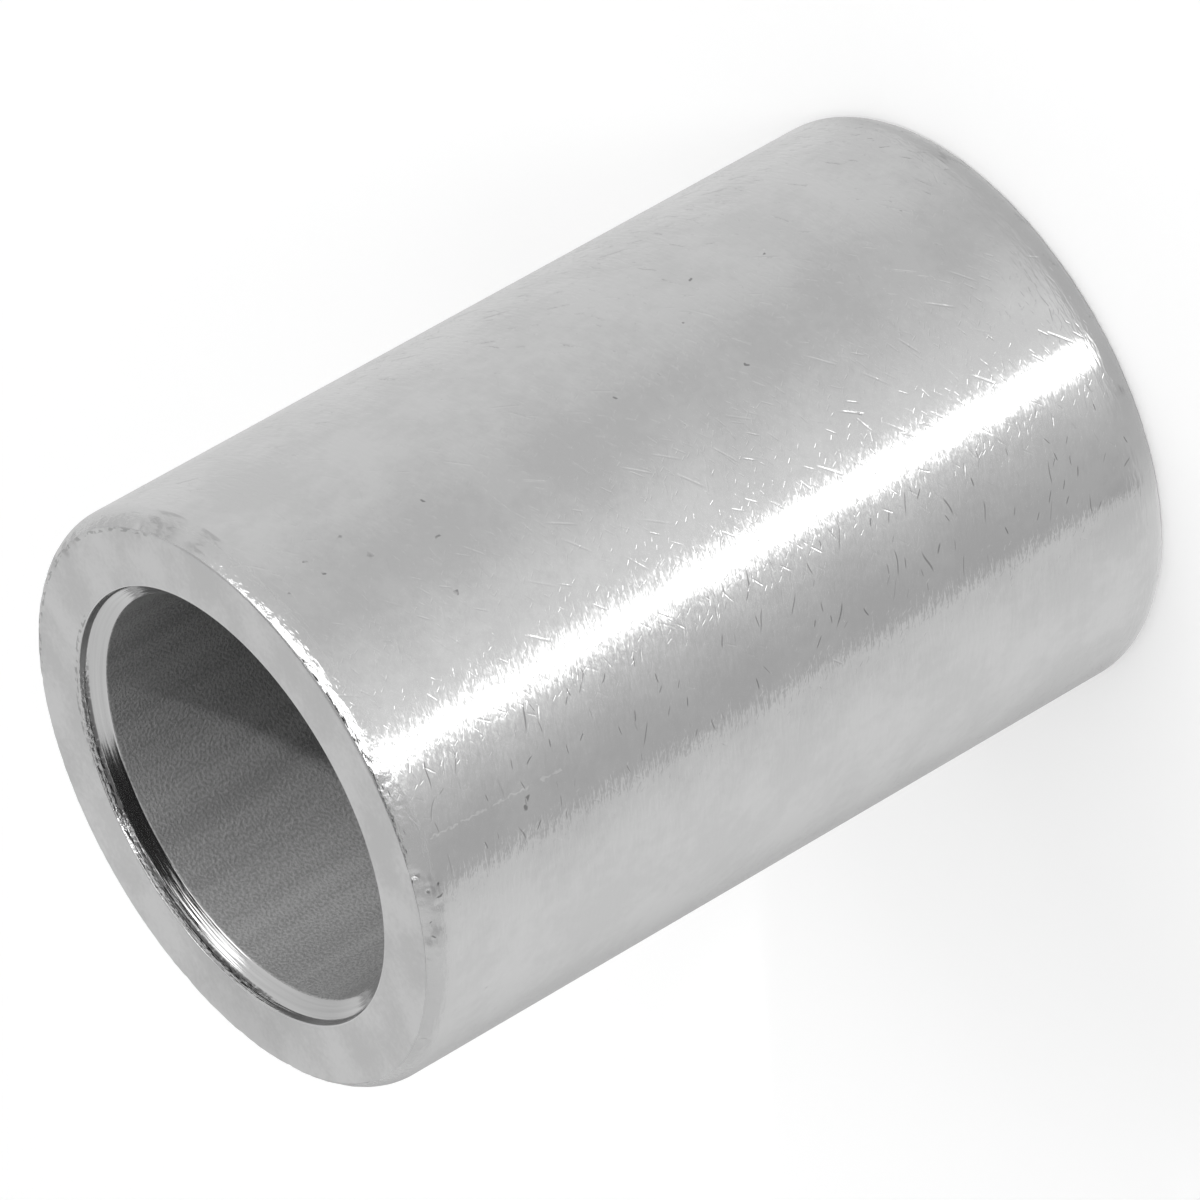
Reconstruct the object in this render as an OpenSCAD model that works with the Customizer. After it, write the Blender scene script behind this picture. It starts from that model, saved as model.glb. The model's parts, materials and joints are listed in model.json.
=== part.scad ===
// Plain round spacer sleeve: a short turned steel tube with square end faces,
// a clear bore for a screw, countersunk mouths and outer rims rounded over by tumbling.
// Both ends are alike. The sleeve stands on one end face, with its axis along +Z.

/* [Sleeve] */
// Length from end face to end face
length = 18; // [8:0.5:60]
// Outer diameter of the wall
outer_d = 12; // [11.4:0.1:20]
// Diameter of the through bore
bore_d = 8.4; // [4:0.1:8.8]

/* [Bore mouths] */
// Radial width of the countersink
sink_width = 0.3; // [0.1:0.05:0.4]
// Depth of the countersink along the axis
sink_depth = 0.25; // [0.1:0.05:1]
// Depth of the steep lip between the end face and the countersink
lip_depth = 0.17; // [0.05:0.01:0.5]
// How far the lip flares out towards the end face
lip_flare = 0.04; // [0.01:0.01:0.1]

/* [Outer rims] */
// Length of the rounded-over rim along the axis
rim_length = 0.5; // [0.45:0.05:2]
// Drop of the rim below the wall, measured at the end face
rim_drop = 0.22; // [0.1:0.02:0.4]

/* [Hidden] */
$fn = 180;

// How far a cutting shape reaches past the surface that it cuts
overcut = 1;

outer_r = outer_d / 2;
bore_r = bore_d / 2;
sink_r = bore_r + sink_width;
mouth_r = sink_r + lip_flare;
mouth_depth = lip_depth + sink_depth;

// The rim is an arc that leaves the wall without a break and runs down to the end face
rim_arc_r = (rim_length ^ 2 + rim_drop ^ 2) / (2 * rim_drop);
rim_centre = [outer_r - rim_arc_r, rim_length];

// Takes away the wall's corner outside the rim arc
module rim_cut() {
    difference() {
        translate([outer_r - rim_drop, -overcut])
            square([rim_drop + overcut, rim_length + overcut]);
        translate(rim_centre)
            circle(r = rim_arc_r);
    }
}

// Opens the bore's mouth: a steep lip below the end face, then the countersink
module mouth_cut() {
    polygon([
        [bore_r - overcut, 0],
        [mouth_r, 0],
        [sink_r, lip_depth],
        [bore_r, mouth_depth],
        [bore_r - overcut, mouth_depth]
    ]);
}

// Everything that is cut away at one end of the section
module end_cuts() {
    rim_cut();
    mouth_cut();
}

// Half of the lengthwise section, to the right of the axis
module half_section() {
    difference() {
        translate([bore_r, 0])
            square([outer_r - bore_r, length]);
        end_cuts();
        translate([0, length])
            mirror([0, 1])
                end_cuts();
    }
}

module spacer() {
    color("silver")
        rotate_extrude()
            half_section();
}

spacer();
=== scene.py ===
"""Dresses the spacer sleeve: a turned steel tube, bright zinc plated and tumbled, on a pale floor."""
import json
import math

import bpy
from mathutils import Matrix, Vector, noise


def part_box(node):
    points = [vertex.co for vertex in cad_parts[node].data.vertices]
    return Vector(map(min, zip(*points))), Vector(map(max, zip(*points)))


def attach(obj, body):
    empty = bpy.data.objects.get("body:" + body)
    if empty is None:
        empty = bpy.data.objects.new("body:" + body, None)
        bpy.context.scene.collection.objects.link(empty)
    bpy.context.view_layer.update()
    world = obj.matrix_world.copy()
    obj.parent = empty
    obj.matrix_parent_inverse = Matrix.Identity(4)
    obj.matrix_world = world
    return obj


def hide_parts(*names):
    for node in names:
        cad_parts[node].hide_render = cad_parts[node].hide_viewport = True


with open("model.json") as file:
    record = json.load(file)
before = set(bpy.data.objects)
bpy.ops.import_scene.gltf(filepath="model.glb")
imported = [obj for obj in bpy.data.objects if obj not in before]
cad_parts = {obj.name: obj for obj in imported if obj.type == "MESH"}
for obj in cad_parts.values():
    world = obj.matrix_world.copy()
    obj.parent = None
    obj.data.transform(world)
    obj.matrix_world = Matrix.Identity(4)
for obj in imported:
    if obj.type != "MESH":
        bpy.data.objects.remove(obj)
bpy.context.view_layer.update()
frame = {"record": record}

# One millimetre in scene units: sizes below are in millimetres unless metres are named
MM = 0.001

# The sleeve's sizes: the main ones come from the frame, the end forms repeat the construction.
# The radius is the narrowest half width of the frame's box, so that the sleeve stays inside that box
LOW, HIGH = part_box("spacer")
OUTER_R = min(-LOW.x, -LOW.y, HIGH.x, HIGH.y) / MM
LENGTH = HIGH.z / MM
BORE_R = next(mount for mount in frame["record"]["mounts"] if mount["name"] == "bore")["dims"]["r_mm"]
SINK_WIDTH = 0.3
SINK_DEPTH = 0.25
LIP_DEPTH = 0.17
LIP_FLARE = 0.04
RIM_LENGTH = 0.5
RIM_DROP = 0.22
SINK_R = BORE_R + SINK_WIDTH
MOUTH_R = SINK_R + LIP_FLARE
MOUTH_DEPTH = LIP_DEPTH + SINK_DEPTH
EDGE_R = OUTER_R - RIM_DROP
RIM_ARC_R = (RIM_LENGTH ** 2 + RIM_DROP ** 2) / (2 * RIM_DROP)

# The camera: angles in degrees, and how far its aim is off the sleeve's middle
LENS_MM = 360.0
SENSOR_MM = 36.0
VIEW_ELEVATION = 28.05
VIEW_ROLL = 119.51
VIEW_DISTANCE = 226.5
AIM_RIGHT = 0.048
AIM_UP = 0.080

# The mesh
SIDES = 720
WALL_ROWS = 32
BORE_ROWS = 14
EDGE_ROUND = 0.035
CORNER_ROUND = 0.02

# Wear on the ends: how far the edges are pushed in, and the pitch of their waves
RIM_WEAR = 0.045
RIM_WAVE = 0.35
MOUTH_WEAR = 0.007
MOUTH_WAVE = 0.16
# How far in from the edge the wear of a rim reaches, and the share of the edge's round that is left
# where the rim is dull
WEAR_REACH = 4 * RIM_WEAR
ROUND_LEFT = 0.3

# Nicks on the upper rim: azimuth, depth below the end face, radius and depth of the nick
NICKS = [
    (-28, 0.06, 0.12, 0.04), (-31, 0.20, 0.13, 0.05), (-35, 0.30, 0.10, 0.03), (-46, 0.05, 0.10, 0.03),
    (58, 0.16, 0.15, 0.03), (66, 0.05, 0.12, 0.04), (92, 0.04, 0.10, 0.05), (97, 0.03, 0.12, 0.06),
    (104, 0.05, 0.10, 0.05), (112, 0.03, 0.14, 0.04), (138, 0.04, 0.10, 0.015), (205, 0.05, 0.15, 0.015),
    (236, 0.04, 0.12, 0.015), (290, 0.12, 0.14, 0.04), (318, 0.10, 0.12, 0.03),
]

# Small pits in the wall, painted dark as painted shade: azimuth, height and radius
PITS = [
    (31.6, 14.0, 0.05), (24.0, 14.3, 0.06), (13.2, 14.7, 0.06), (33.3, 15.8, 0.08), (27.1, 15.6, 0.10),
    (32.3, 16.7, 0.06), (28.3, 16.6, 0.05), (28.2, 17.4, 0.05), (-25.0, 15.3, 0.07), (-26.3, 15.4, 0.07),
    (23.8, 6.9, 0.06), (42.9, 4.8, 0.05), (46.3, 6.3, 0.06), (37.9, 7.2, 0.05), (30.5, 9.5, 0.05),
    (-60.1, 16.7, 0.05),
]

# Scuffed patches of the rims, darkened in colour, partly wear and partly painted shade of dents: azimuth,
# height and radius
SCUFFS = [
    (-31, 17.72, 0.40), (-41, 17.85, 0.45), (48, 17.70, 0.70), (60, 17.75, 0.80),
    (43, 0.50, 0.50), (-14, 0.36, 0.20),
]
# Nicks on the upper rim, painted dark as painted shade: azimuth, height and radius
RIM_NICK_SHADE = [
    (-31.0, 17.62, 0.050), (-33.4, 17.58, 0.055), (-32.2, 17.80, 0.060),
    (-38.0, 17.84, 0.035), (-41.5, 17.88, 0.035),
]

# Painted light and shade on the upper face, one lighter patch and one darker: azimuth, radius on the face,
# radius of the patch and how bright it is
FACE_LIGHT_AND_SHADE = [(172, 5.2, 1.5, 1.07), (224, 5.2, 2.4, 0.87)]

# Darker rings on the upper face: dirt inside the edge, painted shade along the rounded edge, and a darker
# fringe outside the mouth: azimuths, inner and outer radius, how much of it is specks, and how bright it is
FACE_DIRT_AND_SHADE = [
    (66, 132, EDGE_R - 0.09, EDGE_R - 0.05, 1.0, 0.66), (-140, -98, EDGE_R - 0.01, OUTER_R, 0.4, 0.5),
    (110, 152, MOUTH_R - 0.02, MOUTH_R + 0.09, 0.9, 0.62),
]

# An oval ding in the wall, and one long light scratch: azimuths and heights
DING = (43.7, 12.67)
DING_SIZE = (0.16, 0.24)
SCRATCH = ((-22.4, 17.5), (-23.5, 14.4))

# Azimuths of the stretch of the upper rim that still shines, and of the stretches of the wall that are
# scored, with dirt and painted shade in the scores, and hardly marked
SHINE = (-9, 52)
SCORED = (-30, -11)
CLEAN = (-8.5, -3)
# The mouth's lip is burred beyond these azimuths on either side: where the burr starts and where it is full
BURRED = (118, 142)
# The rings of the countersink are deepest towards this azimuth: their heights elsewhere and there
RINGED = 208
RING_HEIGHTS = (0.0035, 0.0130)

# Kinds of scratch: cells per millimetre, half length, half width, share of the cells that have one,
# angle to the way round and how much it varies, both in degrees, and a seed
GASH = (1.1, 0.36, 0.034, 0.7, 34, 24, 3)
KNOCK = (2.8, 0.17, 0.025, 0.85, 14, 42, 17)
TOOTH = (6.0, 0.085, 0.018, 0.95, -16, 50, 29)
LONG_SCORE = (1.3, 0.32, 0.026, 0.6, -14, 24, 41)
SHORT_SCORE = (2.6, 0.13, 0.022, 0.7, -14, 34, 67)
FACE_SCRATCH = (1.6, 0.3, 0.03, 0.5, 0, 90, 7)
GASH_DEPTH = 0.0100
KNOCK_DEPTH = 0.0066
TOOTH_DEPTH = 0.0046
FACE_SCRATCH_DEPTH = 0.002

# Brightness of the zinc by zone, where it is darkest and where it is lightest
GREYS = {
    "wall": (0.58, 0.625),
    "rim": (0.585, 0.62),
    "face": (0.515, 0.585),
    "sink": (0.55, 0.62),
    "bore": (0.185, 0.265),
}
# Roughness by zone, where its noise is low and where it is high; on the rim, where it shines and
# where it is dull
ROUGHNESS = {
    "wall": (0.175, 0.15),
    "rim": (0.175, 0.25),
    "face": (0.36, 0.32),
    "sink": (0.14, 0.10),
    "bore": (0.58, 0.48),
}
# The dull film in the bore is less metallic than the bright zinc
BORE_METALLIC = 0.3

# Brightness by azimuth of what the metal mirrors: the light table, its narrow strip at the foot,
# and the tent
TABLE_GLOW = [
    (-180, 0.55), (-160, 0.57), (-140, 0.77), (-120, 0.89), (-100, 0.91), (-80, 0.86), (-73, 0.80),
    (-66.2, 0.86), (-64.4, 0.55), (-57, 0.60), (-50, 0.60), (-40, 0.66), (-32, 0.73), (-17, 0.95),
    (-13, 3.6), (-9.4, 3.6), (-5, 1.0), (12, 0.97), (24, 0.86), (40, 0.74), (60, 0.73), (80, 0.83),
    (100, 0.87), (120, 0.86), (140, 0.87), (160, 0.79), (180, 0.75),
]
FOOT_GLOW = [(-180, 0.60), (-120, 0.92), (-75, 0.92), (-50, 0.66), (60, 0.68), (180, 0.75)]
TENT_GLOW = [
    (-180, 0.90), (-165, 0.88), (-145, 0.76), (-123, 0.76), (-99, 0.84), (-80, 0.78), (-60, 0.62),
    (-32, 0.62), (-18, 0.70), (-14.5, 3.0), (-9.5, 3.0), (-5, 0.95), (12, 0.92), (40, 0.75), (70, 0.80),
    (99, 0.86), (123, 0.77), (143, 0.68), (165, 0.88), (180, 0.90),
]
# How far the glow of the table leans aside from one end of the sleeve to the other, and between which
# azimuths it grows to that
TABLE_LEAN = 5.2
LEANING = (-14, -4)
# Elevation of the tent's upper edge, by azimuth
TENT_TOP = [
    (-180, 57), (-125, 57), (-95, 59.5), (-60, 61), (-40, 62.5), (-12, 63), (-5, 57), (180, 57),
]

# How often light bounces, kept low so that a final render is quick
LIGHT_BOUNCES = 4


def heading(azimuth_deg, elevation_deg=0.0):
    """Unit vector to an azimuth, 0 on the camera's side and 90 at +X, and an elevation."""
    azimuth = math.radians(azimuth_deg)
    elevation = math.radians(elevation_deg)
    level = math.cos(elevation)
    return Vector((math.sin(azimuth) * level, -math.cos(azimuth) * level, math.sin(elevation)))


def link_object(name, data):
    """A new object in the scene."""
    made = bpy.data.objects.new(name, data)
    bpy.context.scene.collection.objects.link(made)
    return made


# Camera

def make_camera():
    """A long lens that looks down on the sleeve, rolled so that its upper end points to the lower left."""
    back = heading(0, VIEW_ELEVATION)
    roll = math.radians(VIEW_ROLL)
    level_right = Vector((1, 0, 0))
    level_up = back.cross(level_right)
    right = level_right * math.cos(roll) - level_up * math.sin(roll)
    up = level_right * math.sin(roll) + level_up * math.cos(roll)
    aim = right * AIM_RIGHT + up * AIM_UP
    data = bpy.data.cameras.new("camera")
    data.lens = LENS_MM
    data.sensor_width = SENSOR_MM
    data.clip_start = 0.01
    data.clip_end = 10.0
    camera = link_object("camera", data)
    camera.matrix_world = Matrix((right, up, back)).transposed().to_4x4()
    camera.location = (LOW + HIGH) / 2 + (back * VIEW_DISTANCE - aim) * MM
    bpy.context.scene.camera = camera


# Mesh of the sleeve

def spread(first, last, count):
    """Evenly spaced values from first up to, but without, last."""
    return [first + (last - first) * i / count for i in range(count)]


def ease(value, start, end):
    """A smooth step from 0 at start to 1 at end."""
    t = min(max((value - start) / (end - start), 0.0), 1.0)
    return t * t * (3 - 2 * t)


def straight(start, end, rows, zone):
    """Section points on a line, without its end."""
    return [(start[0] + (end[0] - start[0]) * t, start[1] + (end[1] - start[1]) * t, zone)
            for t in spread(0, 1, rows)]


def corner(before, tip, after, size, rows, zone):
    """Section points that round a sharp corner, with the points where the round starts and ends."""
    tip = Vector(tip)
    first = tip + (Vector(before) - tip).normalized() * size
    last = tip + (Vector(after) - tip).normalized() * size
    points = []
    for t in spread(0, 1, rows):
        bend = first * (1 - t) ** 2 + tip * 2 * t * (1 - t) + last * t ** 2
        points.append((bend.x, bend.y, zone))
    return points, (first.x, first.y), (last.x, last.y)


def end_profile(rim_rows, face_rows, lip_rows, sink_rows, corner_rows):
    """Section points (radius, depth below the end face, zone) from the wall over rim, face, lip and sink."""
    arc_centre = OUTER_R - RIM_ARC_R
    sweep = math.asin(RIM_LENGTH / RIM_ARC_R)
    rim = [(arc_centre + RIM_ARC_R * math.cos(turn), RIM_LENGTH - RIM_ARC_R * math.sin(turn), "rim")
           for turn in spread(0, sweep * (1 - EDGE_ROUND / RIM_LENGTH), rim_rows)]
    edge = (EDGE_R, 0.0)
    mouth = (MOUTH_R, 0.0)
    lip = (SINK_R, LIP_DEPTH)
    throat = (BORE_R, MOUTH_DEPTH)
    deep = (BORE_R, 2 * MOUTH_DEPTH)
    edge_bend, _, edge_out = corner(rim[-1][:2], edge, mouth, EDGE_ROUND, corner_rows, "face")
    mouth_bend, mouth_in, mouth_out = corner(edge, mouth, lip, CORNER_ROUND, corner_rows, "lip")
    lip_bend, lip_in, lip_out = corner(mouth, lip, throat, CORNER_ROUND, corner_rows, "sink")
    throat_bend, throat_in, throat_out = corner(lip, throat, deep, CORNER_ROUND, corner_rows, "bore")
    points = rim + edge_bend + straight(edge_out, mouth_in, face_rows, "face")
    points += mouth_bend + straight(mouth_out, lip_in, lip_rows, "lip")
    points += lip_bend + straight(lip_out, throat_in, sink_rows, "sink")
    return points + throat_bend + [(*throat_out, "bore")]


def sleeve_section():
    """The closed section (radius, height, zone), once round from the foot of the wall."""
    upper = end_profile(rim_rows=14, face_rows=12, lip_rows=5, sink_rows=12, corner_rows=4)
    lower = end_profile(rim_rows=8, face_rows=5, lip_rows=2, sink_rows=4, corner_rows=3)
    section = straight((OUTER_R, RIM_LENGTH), (OUTER_R, LENGTH - RIM_LENGTH), WALL_ROWS, "wall")
    section += [(r, LENGTH - depth, zone) for r, depth, zone in upper]
    top_radius, top_depth, _ = upper[-1]
    foot_radius, foot_depth, _ = lower[-1]
    section += straight((top_radius, LENGTH - top_depth), (foot_radius, foot_depth), BORE_ROWS, "bore")[1:]
    section += [(r, depth, zone) for r, depth, zone in reversed(lower[1:])]
    return section


def ripple(azimuth, pitch, seed):
    """Smooth noise round the axis, from 0 to 1, with waves of about the given pitch on the rim."""
    spot = heading(azimuth) * (OUTER_R / pitch)
    return 0.5 + 0.5 * noise.noise(Vector((spot.x, spot.y, seed)))


def nick_depth(azimuth, depth):
    """How deep the nicks of the upper rim are at a place on it."""
    total_depth = 0.0
    for middle, level, radius, amount in NICKS:
        turn = (azimuth - middle + 180) % 360 - 180
        away = math.hypot(math.radians(turn) * OUTER_R, depth - level) / radius
        total_depth += amount * math.exp(-2 * away * away)
    return total_depth


def shine(azimuth):
    """1 on the stretch of the upper rim that still shines, 0 elsewhere."""
    turn = (azimuth + 180) % 360 - 180
    return ease(turn, SHINE[0] - 4, SHINE[0]) * ease(turn, SHINE[1] + 4, SHINE[1])


def worn(azimuth, radius, height, zone):
    """A section point pushed in by wear: ragged rims, nicks and a burred mouth."""
    upper = height > LENGTH / 2
    depth = LENGTH - height if upper else height
    seed = 5.0 if upper else 25.0
    if math.hypot(radius - EDGE_R, depth) < 1.01 * EDGE_ROUND:
        keep = ROUND_LEFT + (1 - ROUND_LEFT) * shine(azimuth) if upper else ROUND_LEFT
        radius = EDGE_R + (radius - EDGE_R) * keep
        depth *= keep
    if zone in ("rim", "face") and radius > EDGE_R - WEAR_REACH:
        near_edge = ease(depth, 0.8 * RIM_LENGTH, 0.0) * ease(radius, EDGE_R - WEAR_REACH, EDGE_R)
        coarse = ripple(azimuth, RIM_WAVE, seed)
        fine = ripple(azimuth, RIM_WAVE / 2.7, seed + 9)
        push = RIM_WEAR * (0.5 * coarse + 0.5 * fine)
        radius -= push * near_edge
        if upper:
            nick = nick_depth(azimuth, depth)
            radius -= 0.7 * nick
            depth += 0.7 * nick
    if zone == "lip" or (zone == "sink" and depth < LIP_DEPTH + CORNER_ROUND):
        coarse = ripple(azimuth, MOUTH_WAVE, seed + depth / 0.06)
        fine = ripple(azimuth, MOUTH_WAVE / 2.5, seed + depth / 0.03)
        turn = abs((azimuth + 180) % 360 - 180)
        radius += MOUTH_WEAR * (coarse + fine - 1.0) * (0.2 + 0.8 * ease(turn, *BURRED))
    return radius, LENGTH - depth if upper else depth


def make_sleeve(materials):
    """The whole sleeve as one closed ring of quads, one material for each zone of its section."""
    slots = {zone: number for number, zones in enumerate(materials) for zone in zones}
    section = sleeve_section()
    rows = len(section)
    points = []
    for azimuth in spread(0, 360, SIDES):
        outward = heading(azimuth)
        for radius, height, zone in section:
            radius, height = worn(azimuth, radius, height, zone)
            points.append((outward * radius + Vector((0, 0, height))) * MM)
    faces = []
    numbers = []
    for side in range(SIDES):
        here = side * rows
        there = (side + 1) % SIDES * rows
        for row in range(rows):
            after = (row + 1) % rows
            faces.append((here + row, there + row, there + after, here + after))
            numbers.append(slots[section[row][2]])
    mesh = bpy.data.meshes.new("sleeve")
    mesh.from_pydata(points, [], faces)
    for material in materials.values():
        mesh.materials.append(material)
    mesh.polygons.foreach_set("material_index", numbers)
    mesh.polygons.foreach_set("use_smooth", [True] * len(faces))
    mesh.update()
    return link_object("sleeve", mesh)


# Node helpers

def new_material(name):
    """A material with its node tree and its surface shader."""
    material = bpy.data.materials.new(name)
    material.use_nodes = True
    tree = material.node_tree
    return material, tree, tree.nodes["Principled BSDF"]


def add_node(tree, kind, inputs=None, **settings):
    """A node with its settings made and its inputs set or linked."""
    made = tree.nodes.new(kind)
    for name, value in settings.items():
        setattr(made, name, value)
    for key, value in (inputs or {}).items():
        if isinstance(value, bpy.types.NodeSocket):
            tree.links.new(value, made.inputs[key])
        else:
            made.inputs[key].default_value = value
    return made


def calc(tree, operation, *values):
    """The result of a math node."""
    return add_node(tree, "ShaderNodeMath", dict(enumerate(values)), operation=operation).outputs[0]


def vector_calc(tree, operation, *values):
    """The vector that a vector math node gives."""
    made = add_node(tree, "ShaderNodeVectorMath", dict(enumerate(values)), operation=operation)
    return made.outputs["Vector"]


def distance(tree, first, second):
    """The distance between two places."""
    made = add_node(tree, "ShaderNodeVectorMath", {0: first, 1: second}, operation="DISTANCE")
    return made.outputs["Value"]


def vector_dot(tree, first, second):
    """How far one place reaches along a direction."""
    made = add_node(tree, "ShaderNodeVectorMath", {0: first, 1: second}, operation="DOT_PRODUCT")
    return made.outputs["Value"]


def fade(tree, value, start, end, low=0.0, high=1.0):
    """A smooth step that goes from low, where value is start, to high, where it is end."""
    if start > end:
        start, end, low, high = end, start, high, low
    inputs = {"Value": value, "From Min": start, "From Max": end, "To Min": low, "To Max": high}
    return add_node(tree, "ShaderNodeMapRange", inputs, interpolation_type="SMOOTHSTEP").outputs["Result"]


def total(tree, values):
    """The sum of several values."""
    result = values[0]
    for value in values[1:]:
        result = calc(tree, "ADD", result, value)
    return result


def weigh(tree, pairs):
    """The sum of several values, each times its own factor."""
    return total(tree, [calc(tree, "MULTIPLY", value, factor) for value, factor in pairs])


def clouds(tree, place, scale, detail=2.0, dimensions="2D"):
    """Soft noise between 0 and 1, with a scale in waves per millimetre along each of three directions."""
    place = vector_calc(tree, "MULTIPLY", place, scale)
    inputs = {"Vector": place, "Scale": 1.0, "Detail": detail}
    return add_node(tree, "ShaderNodeTexNoise", inputs, noise_dimensions=dimensions).outputs["Fac"]


def band(tree, value, low, high, soft):
    """1 between two values and 0 outside them, with soft ends."""
    return calc(tree, "MULTIPLY", fade(tree, value, low - soft, low), fade(tree, value, high + soft, high))


def place_mm(tree):
    """The place on the sleeve in millimetres."""
    place = add_node(tree, "ShaderNodeTexCoord").outputs["Object"]
    return vector_calc(tree, "MULTIPLY", place, (1 / MM,) * 3)


def axes(tree, place):
    """The three parts of a place."""
    return add_node(tree, "ShaderNodeSeparateXYZ", {0: place}).outputs


def unrolled(tree, place, radius):
    """The place on a round surface laid flat: the way round from the camera's side, and the height."""
    parts = axes(tree, place)
    turn = calc(tree, "ARCTAN2", parts["X"], calc(tree, "MULTIPLY", parts["Y"], -1.0))
    inputs = {"X": calc(tree, "MULTIPLY", turn, radius), "Y": parts["Z"]}
    return add_node(tree, "ShaderNodeCombineXYZ", inputs).outputs[0]


def cells(tree, flat, scale, seed):
    """Random cells on a flat place: the offset from the cell's middle, and its three random numbers."""
    shifted = vector_calc(tree, "ADD", flat, (seed, 2.7 * seed, 0))
    inputs = {"Vector": shifted, "Scale": scale}
    made = add_node(tree, "ShaderNodeTexVoronoi", inputs, voronoi_dimensions="2D")
    offset = vector_calc(tree, "SUBTRACT", shifted, made.outputs["Position"])
    chances = add_node(tree, "ShaderNodeSeparateColor", {0: made.outputs["Color"]}).outputs
    return offset, chances


def strokes(tree, flat, scale, half_length, half_width, share, lean, swing, seed):
    """Short straight scratches, 0 to 1 deep, at an angle to the way round that varies by a swing."""
    offset, chances = cells(tree, flat, scale, seed)
    swung = calc(tree, "MULTIPLY", calc(tree, "SUBTRACT", chances[0], 0.5), 2 * math.radians(swing))
    turn = calc(tree, "SUBTRACT", swung, math.radians(lean))
    inputs = {"Vector": offset, "Angle": turn}
    turned = add_node(tree, "ShaderNodeVectorRotate", inputs, rotation_type="Z_AXIS")
    parts = axes(tree, turned.outputs[0])
    lengthwise = fade(tree, calc(tree, "ABSOLUTE", parts["X"]), half_length, 0.3 * half_length)
    widthwise = fade(tree, calc(tree, "ABSOLUTE", parts["Y"]), half_width, 0.0)
    depth = fade(tree, chances[1], share, 0.0)
    return calc(tree, "MULTIPLY", calc(tree, "MULTIPLY", lengthwise, widthwise), depth)


def ways(azimuths, radius):
    """How far round some azimuths are on a round surface laid flat."""
    return [math.radians(azimuth) * radius for azimuth in azimuths]


def flat_place(azimuth, height):
    """A place on the wall or the rim, laid flat."""
    return (*ways([azimuth], OUTER_R), height, 0)


def flat_spots(marks):
    """Flat places, each with a radius, from azimuths, heights and radii."""
    return [(flat_place(azimuth, height), radius) for azimuth, height, radius in marks]


def ragged(tree, flat, scale, amount):
    """A flat place pushed about by fine noise, so that what is drawn there has a ragged outline."""
    inputs = {"Vector": flat, "Scale": scale, "Detail": 0.0}
    push = add_node(tree, "ShaderNodeTexNoise", inputs, noise_dimensions="2D")
    centred = vector_calc(tree, "SUBTRACT", push.outputs["Color"], (0.5, 0.5, 0.5))
    return vector_calc(tree, "ADD", flat, vector_calc(tree, "MULTIPLY", centred, (amount, amount, 0)))


def end_depth(tree, height):
    """How far a height is from the nearer end of the sleeve."""
    return calc(tree, "MINIMUM", height, calc(tree, "SUBTRACT", LENGTH, height))


def settled(tree, flat, value, level, width):
    """A value that settles to one level at the back, where the two ends of the flat place meet."""
    back = calc(tree, "ABSOLUTE", axes(tree, flat)["X"])
    seam = math.pi * OUTER_R
    kept = fade(tree, back, seam, seam - width)
    swell = calc(tree, "MULTIPLY", calc(tree, "SUBTRACT", value, level), kept)
    return calc(tree, "ADD", swell, level)


def nearest(tree, flat, places):
    """How far the nearest of some spots is, as a share of its radius: flat places, each with a radius."""
    result = None
    for place, radius in places:
        away = calc(tree, "MULTIPLY", distance(tree, flat, place), 1 / radius)
        result = away if result is None else calc(tree, "MINIMUM", result, away)
    return result


def oval_ring(tree, flat, middle, half_sizes):
    """The outline of an oval, 0 to 1."""
    offset = vector_calc(tree, "SUBTRACT", flat, middle)
    scaled = vector_calc(tree, "MULTIPLY", offset, (1 / half_sizes[0], 1 / half_sizes[1], 0))
    away = calc(tree, "SUBTRACT", distance(tree, scaled, (0, 0, 0)), 1.0)
    return fade(tree, calc(tree, "ABSOLUTE", away), 0.45, 0.0)


def line(tree, flat, start, end, width):
    """A straight line between two flat places, 0 to 1."""
    start = Vector(start)
    way = Vector(end) - start
    offset = vector_calc(tree, "SUBTRACT", flat, start)
    along = vector_dot(tree, offset, way.normalized())
    across = vector_dot(tree, offset, Vector((-way.y, way.x, 0)).normalized())
    narrow = fade(tree, calc(tree, "ABSOLUTE", across), width, 0.0)
    return calc(tree, "MULTIPLY", narrow, band(tree, along, 0.0, way.length, width))


def tint(tree, colour, mark, shade):
    """A colour that is multiplied by a shade where a mark is 1."""
    return calc(tree, "MULTIPLY", colour, fade(tree, mark, 0.0, 1.0, 1.0, shade))


def finish_metal(tree, shader, colour, roughness, height, metallic=1.0):
    """Wires colour, roughness and height in millimetres into a shader; a dull film is less metallic."""
    bump = add_node(tree, "ShaderNodeBump", {"Distance": MM, "Strength": 1.0, "Height": height})
    grey = add_node(tree, "ShaderNodeCombineColor", {0: colour, 1: colour, 2: colour})
    tree.links.new(grey.outputs[0], shader.inputs["Base Color"])
    tree.links.new(roughness, shader.inputs["Roughness"])
    tree.links.new(bump.outputs["Normal"], shader.inputs["Normal"])
    shader.inputs["Metallic"].default_value = metallic


# Materials

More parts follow.
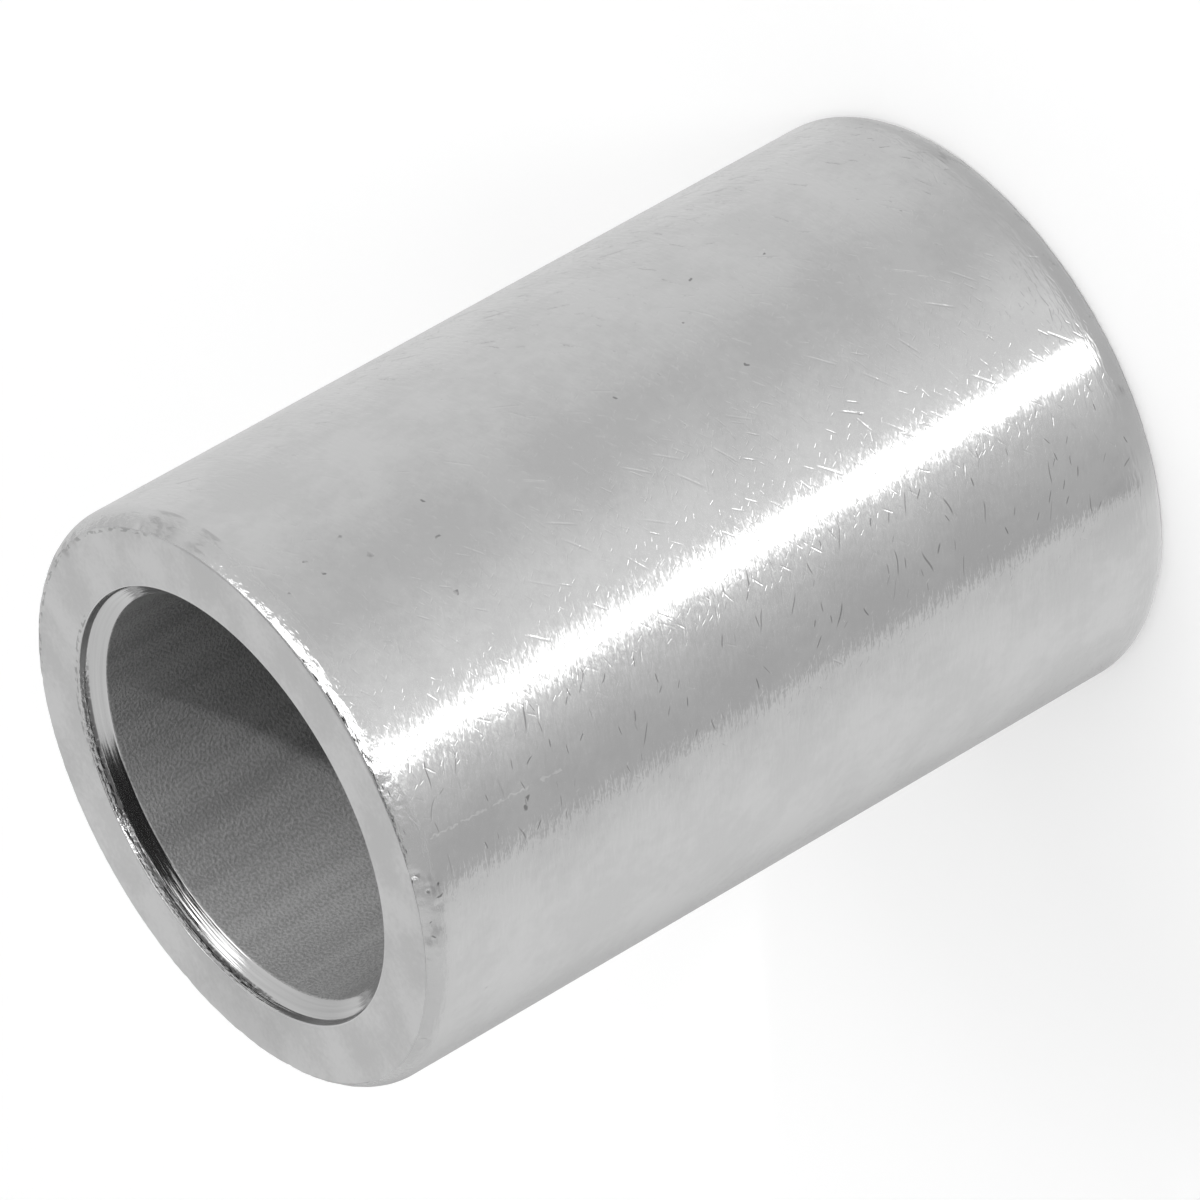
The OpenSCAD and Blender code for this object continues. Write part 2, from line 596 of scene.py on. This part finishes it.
def tumbled(tree, flat):
    """Height in millimetres of the marks that tumbling left: glancing strokes, fine teeth and soft waves."""
    parts = axes(tree, flat)
    first, last = ways(CLEAN, OUTER_R)
    # The gashes are at their full depth on one side of the clean stretch only
    above = fade(tree, parts["X"], last, last + 0.5, 0.25, 1.0)
    gashes = calc(tree, "MULTIPLY", strokes(tree, flat, *GASH), above)
    knocks = weigh(tree, [
        (gashes, -GASH_DEPTH),
        (strokes(tree, flat, *KNOCK), -KNOCK_DEPTH),
        (strokes(tree, flat, *TOOTH), -TOOTH_DEPTH),
    ])
    # All strokes are shallower on the clean stretch, on its other side and towards the upper end
    smooth = fade(tree, band(tree, parts["X"], first, last, 0.15), 0.0, 1.0, 1.0, 0.3)
    around = calc(tree, "MULTIPLY", smooth, fade(tree, parts["X"], first - 0.7, first - 0.3, 0.4, 1.0))
    along = fade(tree, parts["Y"], 0.75 * LENGTH, 0.45 * LENGTH, 0.6, 1.0)
    height = weigh(tree, [
        (knocks, calc(tree, "MULTIPLY", around, along)),
        (clouds(tree, flat, (3.2, 13.0, 1.0), 2.0), 0.0100),
        (clouds(tree, flat, (1.2, 1.2, 1.0), 1.0), 0.0080),
    ])
    return settled(tree, flat, height, 0.008, 0.5)


def wall_zinc():
    """Bright zinc on the wall, scratched by tumbling against other sleeves, with pits and scores painted
    darker: painted shade in the pits, dirt and painted shade in the scores.
    """
    material, tree, shader = new_material("zinc_wall")
    flat = unrolled(tree, place_mm(tree), OUTER_R)
    way_round = axes(tree, flat)["X"]
    ding = oval_ring(tree, flat, flat_place(*DING), DING_SIZE)
    height = calc(tree, "ADD", tumbled(tree, flat), calc(tree, "MULTIPLY", ding, -0.0015))
    mottle = clouds(tree, flat, (4.0, 4.0, 1.0), 2.0)
    rough_flat = ragged(tree, flat, 9.0, 0.10)
    # Painted shade: the pits are darkened in colour, with no relief cut into the wall
    pit = nearest(tree, rough_flat, flat_spots(PITS))
    pits = calc(tree, "MULTIPLY", fade(tree, pit, 1.0, 0.4), fade(tree, mottle, 0.35, 0.6, 0.35, 1.0))
    scored = fade(tree, band(tree, way_round, *ways(SCORED, OUTER_R), 0.4), 0.0, 1.0, 0.15, 1.0)
    wavy = ragged(tree, flat, 1.6, 0.22)
    # The scores are darkened in colour: partly dirt, partly painted shade in the scratches
    scores = calc(tree, "MAXIMUM", strokes(tree, wavy, *LONG_SCORE), strokes(tree, wavy, *SHORT_SCORE))
    scores = calc(tree, "MULTIPLY", scores, scored)
    scratch = line(tree, rough_flat, *[flat_place(*end) for end in SCRATCH], 0.035)
    scratch = calc(tree, "MULTIPLY", scratch, fade(tree, mottle, 0.36, 0.48))
    haze = settled(tree, flat, clouds(tree, flat, (0.6, 0.6, 1.0), 3.0), 0.5, 2.5)
    colour = fade(tree, weigh(tree, [(haze, 0.75), (mottle, 0.25)]), 0.35, 0.65, *GREYS["wall"])
    for mark, shade in ((pits, 0.5), (scores, 0.5), (scratch, 1.18)):
        colour = tint(tree, colour, mark, shade)
    roughness = fade(tree, haze, 0.3, 0.7, *ROUGHNESS["wall"])
    finish_metal(tree, shader, colour, roughness, height)
    return material


def rim_zinc():
    """Bright zinc on the rims, worn dull and scuffed outside the stretch that still shines, with painted
    shade of dents and nicks.
    """
    material, tree, shader = new_material("zinc_rim")
    flat = unrolled(tree, place_mm(tree), OUTER_R)
    parts = axes(tree, flat)
    depth = end_depth(tree, parts["Y"])
    worn_edge = fade(tree, depth, RIM_LENGTH, 0.3 * RIM_LENGTH)
    shiny = band(tree, parts["X"], *ways(SHINE, OUTER_R), 0.3)
    dull = calc(tree, "MULTIPLY", worn_edge, fade(tree, shiny, 0.0, 1.0, 1.0, 0.0))
    # The scuffed patches are darkened in colour: partly wear, partly painted shade of dents
    patch = nearest(tree, flat, flat_spots(SCUFFS))
    scuff_and_shade_noise = fade(tree, clouds(tree, flat, (2.2, 8.0, 1.0), 2.0), 0.38, 0.72)
    scuffs_and_dent_shade = calc(tree, "MULTIPLY", fade(tree, patch, 1.0, 0.1), fade(tree, scuff_and_shade_noise, 0.0, 1.0, 0.35, 1.0))
    # Painted shade: the nicks of the upper rim are darkened in colour
    marks = fade(tree, nearest(tree, ragged(tree, flat, 6.0, 0.16), flat_spots(RIM_NICK_SHADE)), 1.0, 0.2)
    haze = clouds(tree, flat, (0.6, 0.6, 1.0), 4.0)
    colour = fade(tree, haze, 0.3, 0.7, *GREYS["rim"])
    for mark, shade in ((scuffs_and_dent_shade, 0.76), (marks, 0.45)):
        colour = tint(tree, colour, mark, shade)
    roughness = fade(tree, dull, 0.0, 1.0, *ROUGHNESS["rim"])
    dents = calc(tree, "MULTIPLY", clouds(tree, flat, (6.0, 9.0, 1.0), 2.0), worn_edge)
    height = weigh(tree, [(tumbled(tree, flat), 1.0), (dents, 0.009)])
    finish_metal(tree, shader, colour, roughness, height)
    return material


def face_zinc():
    """Satin zinc on the end faces, with a painted lighter and a painted darker patch, and with dirt and
    painted shade along stretches of the edges.
    """
    material, tree, shader = new_material("zinc_face")
    place = place_mm(tree)
    parts = axes(tree, unrolled(tree, place, EDGE_R))
    away = distance(tree, vector_calc(tree, "MULTIPLY", place, (1, 1, 0)), (0, 0, 0))
    polar = add_node(tree, "ShaderNodeCombineXYZ", {"X": parts["X"], "Y": away}).outputs[0]
    grain = clouds(tree, place, (9.0, 9.0, 1.0), 2.0)
    haze = clouds(tree, place, (0.7, 0.7, 1.0), 3.0)
    shade = weigh(tree, [(haze, 0.7), (grain, 0.3)])
    scratches = strokes(tree, place, *FACE_SCRATCH)
    height = weigh(tree, [(grain, 0.002), (scratches, -FACE_SCRATCH_DEPTH)])
    colour = fade(tree, shade, 0.35, 0.65, *GREYS["face"])
    specks = fade(tree, clouds(tree, polar, (4.0, 10.0, 1.0), 2.0), 0.46, 0.64)
    # Darker rings: dirt inside the edge, painted shade along the rounded edge, a darker fringe outside the
    # mouth
    for first, last, inner, outer, share, bright in FACE_DIRT_AND_SHADE:
        stretch = band(tree, parts["X"], *ways((first, last), EDGE_R), 0.6)
        ring = calc(tree, "MULTIPLY", stretch, band(tree, away, inner, outer, 0.04))
        dirt = calc(tree, "MULTIPLY", ring, fade(tree, specks, 0.0, 1.0, 1 - share, 1.0))
        colour = tint(tree, colour, dirt, bright)
    # Painted light and shade: one patch of the face is lighter, one darker
    for azimuth, middle, radius, bright in FACE_LIGHT_AND_SHADE:
        painted_patch_away = distance(tree, place, heading(azimuth) * middle + Vector((0, 0, LENGTH)))
        colour = calc(tree, "MULTIPLY", colour, fade(tree, painted_patch_away, radius, 0.0, 1.0, bright))
    roughness = fade(tree, haze, 0.3, 0.7, *ROUGHNESS["face"])
    finish_metal(tree, shader, colour, roughness, height)
    return material


def turned_zinc():
    """Bright zinc over the fine rings that the countersink's tool left, with painted shade in the lip's
    corner.
    """
    material, tree, shader = new_material("zinc_turned")
    place = place_mm(tree)
    flat = unrolled(tree, place, SINK_R)
    parts = axes(tree, flat)
    depth = end_depth(tree, parts["Y"])
    rings = clouds(tree, place, (0.35, 0.35, 22.0), 3.0, "3D")
    burr = clouds(tree, flat, (9.0, 14.0, 1.0), 2.0)
    burred = fade(tree, calc(tree, "ABSOLUTE", parts["X"]), *ways(BURRED, SINK_R), 0.15, 1.0)
    lip = calc(tree, "MULTIPLY", burred, fade(tree, depth, LIP_DEPTH + 0.04, LIP_DEPTH - 0.02))
    toward = vector_dot(tree, place, heading(RINGED))
    ring_height = fade(tree, toward, 0.78 * SINK_R, 0.97 * SINK_R, *RING_HEIGHTS)
    height = calc(tree, "ADD", calc(tree, "MULTIPLY", rings, ring_height),
                  calc(tree, "MULTIPLY", calc(tree, "MULTIPLY", burr, lip), 0.009))
    # Painted shade: the lip's corner is darkened in colour where the burr is
    corner_shade = calc(tree, "MULTIPLY", band(tree, depth, LIP_DEPTH - 0.05, LIP_DEPTH + 0.01, 0.03),
                       fade(tree, calc(tree, "MULTIPLY", burr, burred), 0.0, 0.55))
    colour = tint(tree, fade(tree, rings, 0.3, 0.7, *GREYS["sink"]), corner_shade, 0.30)
    roughness = fade(tree, rings, 0.3, 0.7, *ROUGHNESS["sink"])
    finish_metal(tree, shader, colour, roughness, height)
    return material


def bore_zinc():
    """Thin dull zinc in the bore, grainy and streaked along the axis."""
    material, tree, shader = new_material("zinc_bore")
    place = place_mm(tree)
    flat = unrolled(tree, place, BORE_R)
    grain = clouds(tree, flat, (16.0, 15.0, 1.0), 1.0)
    streaks = clouds(tree, place, (1.6, 1.6, 0.12), 1.0, "3D")
    height = weigh(tree, [(grain, 0.016), (streaks, 0.003)])
    shade = weigh(tree, [(grain, 0.5), (streaks, 0.5)])
    colour = fade(tree, shade, 0.35, 0.65, *GREYS["bore"])
    roughness = fade(tree, grain, 0.3, 0.7, *ROUGHNESS["bore"])
    finish_metal(tree, shader, colour, roughness, height, BORE_METALLIC)
    return material


# Stage

def aim_lamp(name, data, target, azimuth, elevation, away):
    """A lamp that faces a place from some distance in metres, hidden from the camera."""
    lamp = link_object(name, data)
    direction = heading(azimuth, elevation)
    lamp.location = target + direction * away
    lamp.rotation_euler = direction.to_track_quat("Z", "Y").to_euler()
    lamp.visible_camera = False
    return lamp


def softbox(name, azimuth, elevation, away, width, height, radiance):
    """A flat soft lamp that faces the sleeve: distance and sizes in metres."""
    data = bpy.data.lights.new(name, "AREA")
    data.shape = "RECTANGLE"
    data.size = width
    data.size_y = height
    data.energy = radiance * math.pi * width * height
    aim_lamp(name, data, (LOW + HIGH) / 2, azimuth, elevation, away)


def snoot(name, azimuth, elevation, away, beam_radius, irradiance):
    """A lamp with a narrow beam into the upper mouth: distance in metres, beam in millimetres."""
    data = bpy.data.lights.new(name, "SPOT")
    data.energy = irradiance * 4 * math.pi * away ** 2
    data.spot_size = 2 * math.atan(beam_radius * MM / away)
    data.spot_blend = 0.3
    data.shadow_soft_size = beam_radius * MM
    lamp = aim_lamp(name, data, Vector((0, 0, HIGH.z)), azimuth, elevation, away)
    lamp.visible_glossy = False


def make_floor():
    """The pale floor that the sleeve stands on: it also glows for the camera and in the metal."""
    reach = 1.5
    glow = 0.255
    paleness = 0.9
    mesh = bpy.data.meshes.new("floor")
    mesh.from_pydata([(-reach, -reach, 0), (reach, -reach, 0), (reach, reach, 0), (-reach, reach, 0)],
                     [], [(0, 1, 2, 3)])
    material, tree, shader = new_material("floor")
    tree.nodes.remove(shader)
    rays = add_node(tree, "ShaderNodeLightPath").outputs
    seen = total(tree, [rays["Is Camera Ray"], rays["Is Glossy Ray"], rays["Is Transmission Ray"]])
    strength = calc(tree, "MULTIPLY", calc(tree, "MINIMUM", seen, 1.0), glow)
    lamp = add_node(tree, "ShaderNodeEmission", {"Strength": strength})
    matt = add_node(tree, "ShaderNodeBsdfDiffuse", {"Color": (paleness, paleness, paleness, 1)})
    both = add_node(tree, "ShaderNodeAddShader", {0: lamp.outputs[0], 1: matt.outputs[0]})
    tree.links.new(both.outputs[0], tree.nodes["Material Output"].inputs["Surface"])
    material.cycles.emission_sampling = "NONE"
    mesh.materials.append(material)
    link_object("floor", mesh)


def glow_at(steps, azimuth):
    """The value towards an azimuth, by straight lines between the listed ones."""
    azimuth = max(azimuth, steps[0][0])
    for (low, first), (high, last) in zip(steps, steps[1:]):
        if azimuth <= high:
            return first + (last - first) * (azimuth - low) / (high - low)
    return steps[-1][1]


def glow_sheet(name, columns):
    """A glowing sheet from columns of points, each with its brightness."""
    points = [point for column in columns for point, _ in column]
    glows = [glow for column in columns for _, glow in column]
    height = len(columns[0])
    faces = [(i, i + 1, i + 1 + height, i + height)
             for i in range(len(points) - height) if (i + 1) % height]
    mesh = bpy.data.meshes.new(name)
    mesh.from_pydata(points, [], faces)
    mesh.attributes.new("glow", "FLOAT", "POINT").data.foreach_set("value", glows)
    material, tree, shader = new_material(name)
    tree.nodes.remove(shader)
    glow = add_node(tree, "ShaderNodeAttribute", attribute_name="glow").outputs["Fac"]
    seen = add_node(tree, "ShaderNodeLightPath").outputs["Is Camera Ray"]
    unseen = calc(tree, "SUBTRACT", 1.0, seen)
    strength = calc(tree, "MAXIMUM", calc(tree, "MULTIPLY", glow, unseen), seen)
    lamp = add_node(tree, "ShaderNodeEmission", {"Strength": strength})
    tree.links.new(lamp.outputs[0], tree.nodes["Material Output"].inputs["Surface"])
    material.cycles.emission_sampling = "NONE"
    mesh.materials.append(material)
    sheet = link_object(name, mesh)
    return sheet


def make_tent():
    """A round light tent, open at the top, that the camera sees as plain white: sizes in metres."""
    radius = 0.6
    columns = []
    for azimuth in range(-180, 181):
        foot = heading(azimuth) * radius
        glow = glow_at(TENT_GLOW, azimuth)
        height = radius * math.tan(math.radians(glow_at(TENT_TOP, azimuth)))
        columns.append([(foot, glow), (foot + Vector((0, 0, height)), glow)])
    glow_sheet("tent", columns)


def make_roof():
    """A white panel above the tent and behind the sleeve, for what faces up: sizes in metres."""
    height = 0.8
    half_width = 0.2
    front = -0.05
    back = 0.32
    glow = 0.9
    columns = [[(Vector((x, y, height)), glow) for y in (front, back)] for x in (-half_width, half_width)]
    glow_sheet("roof", columns)


def make_light_table():
    """A light table that spreads to all sides from the front half of the foot, seen only in the metal."""
    reach = 300.0
    lift = 0.01
    strip = 0.6
    blend = 0.6
    near_end = LENGTH / math.tan(math.radians(VIEW_ELEVATION))
    columns = []
    for azimuth in range(-180, 181):
        way = heading(azimuth)
        wall_foot = heading(azimuth / 2) * OUTER_R + Vector((0, 0, lift))
        edge_foot = heading(azimuth / 2) * EDGE_R + Vector((0, 0, lift))
        foot_glow = glow_at(FOOT_GLOW, azimuth)
        lean = TABLE_LEAN * (0.15 + 0.85 * ease(azimuth, *LEANING))
        first_glow = glow_at(TABLE_GLOW, azimuth - 0.4 * lean)
        last_glow = glow_at(TABLE_GLOW, azimuth + 0.6 * lean)
        column = [(edge_foot, foot_glow), (wall_foot + way * strip, foot_glow),
                  (wall_foot + way * (strip + blend), first_glow), (wall_foot + way * near_end, last_glow),
                  (wall_foot + way * reach, last_glow)]
        columns.append([(point * MM, glow) for point, glow in column])
    table = glow_sheet("light_table", columns)
    table.visible_camera = False
    table.visible_diffuse = False
    table.visible_shadow = False


def make_world():
    """A nearly dark room above the lamps."""
    room_glow = 0.02
    world = bpy.data.worlds.new("world")
    bpy.context.scene.world = world
    world.use_nodes = True
    background = world.node_tree.nodes["Background"]
    background.inputs["Color"].default_value = (1, 1, 1, 1)
    background.inputs["Strength"].default_value = room_glow


make_camera()
sleeve = make_sleeve({
    ("wall",): wall_zinc(),
    ("rim",): rim_zinc(),
    ("face",): face_zinc(),
    ("lip", "sink"): turned_zinc(),
    ("bore",): bore_zinc(),
})
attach(sleeve, "root")
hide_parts("spacer")
make_floor()
make_tent()
make_roof()
make_light_table()
make_world()
softbox("key_front", azimuth=22, elevation=53, away=0.45, width=0.34, height=0.18, radiance=1.8)
softbox("key_side", azimuth=72, elevation=56, away=0.45, width=0.22, height=0.16, radiance=1.7)
snoot("bore_lamp", azimuth=42, elevation=31, away=0.15, beam_radius=5.0, irradiance=4.5)

bpy.context.scene.view_settings.view_transform = "Standard"
bpy.context.scene.cycles.max_bounces = LIGHT_BOUNCES
